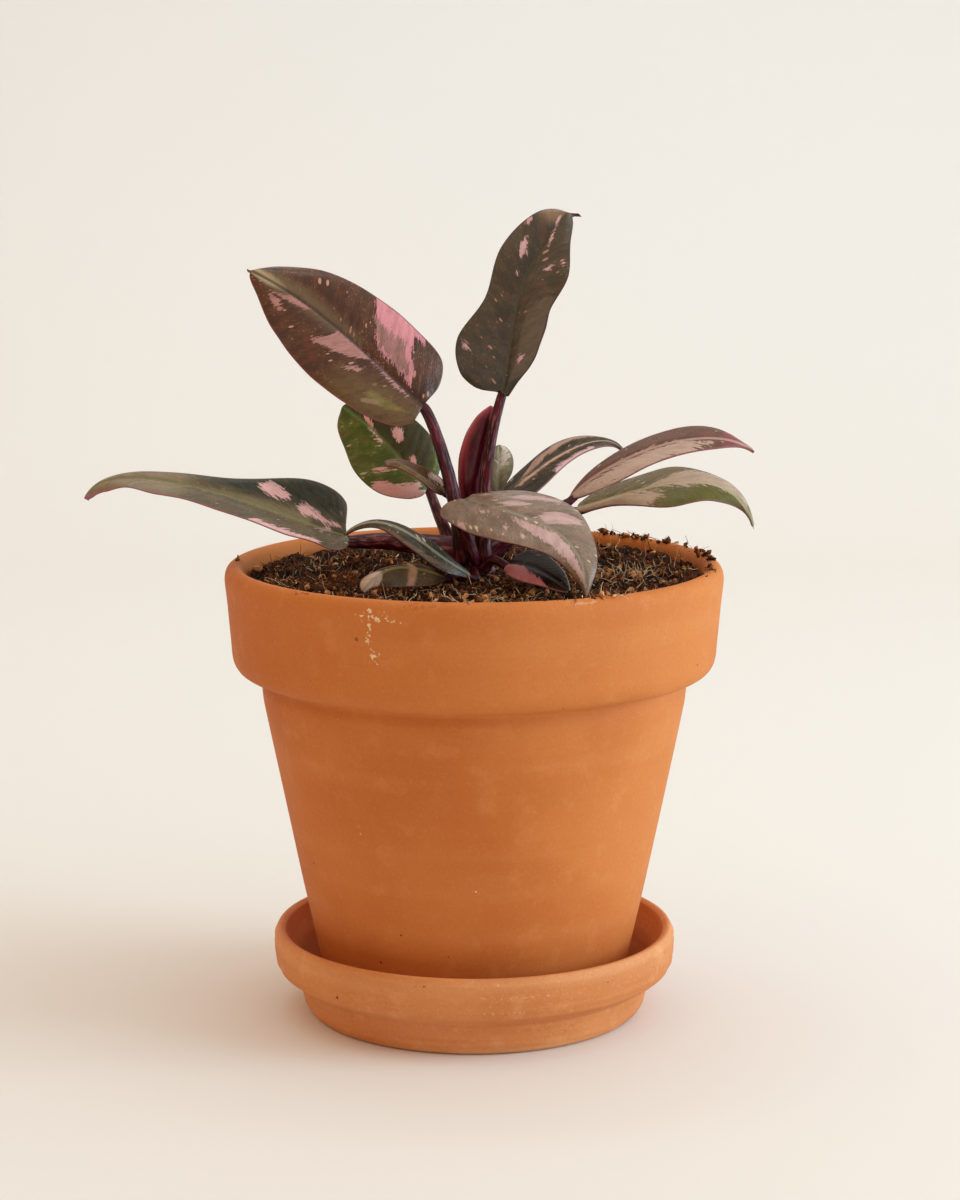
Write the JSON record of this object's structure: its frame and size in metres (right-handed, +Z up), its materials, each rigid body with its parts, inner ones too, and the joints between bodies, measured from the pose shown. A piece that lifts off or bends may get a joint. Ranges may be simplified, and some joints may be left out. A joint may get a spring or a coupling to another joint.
{
  "type": "potted pink princess philodendron",
  "caption": "Young variegated philodendron with long dark leaves splashed pink, in a banded clay pot standing on its clay saucer.",
  "frame": {"origin": "on the floor under the middle of the saucer, on the axis that the pot and the saucer share", "axes": "+Z up; -Y is the side that the plant shows best; +X to the right seen from there"},
  "size_m": [0.2157, 0.16, 0.2599],
  "materials": {
    "terracotta": "matte unglazed fired clay with faint turning rings and a chalky bloom",
    "terracotta_saucer": "matte unglazed fired clay with clear turning rings",
    "potting_soil": "moist crumbly peat and coir potting mix with pale fibres",
    "stalk": "satin dark red plant tissue",
    "sheath": "satin wine-red plant tissue",
    "leaf": "satin waxy leaf, dark olive-green variegated with pink"
  },
  "bodies": {
    "root": {"pot": "terracotta", "saucer": "terracotta_saucer", "soil": "potting_soil", "stem": "stalk", "new_leaf_sheath": "sheath", "leaf_upper_left": "leaf", "leaf_top": "leaf", "leaf_long_left": "leaf", "leaf_round_back": "leaf", "leaf_small_curled": "leaf", "leaf_front_narrow": "leaf", "leaf_low_left": "leaf", "leaf_front_arched": "leaf", "leaf_low_right": "leaf", "leaf_striped": "leaf", "leaf_right_upper": "leaf", "leaf_right_lower": "leaf", "leaf_small_back": "leaf"}
  },
  "joints": []
}
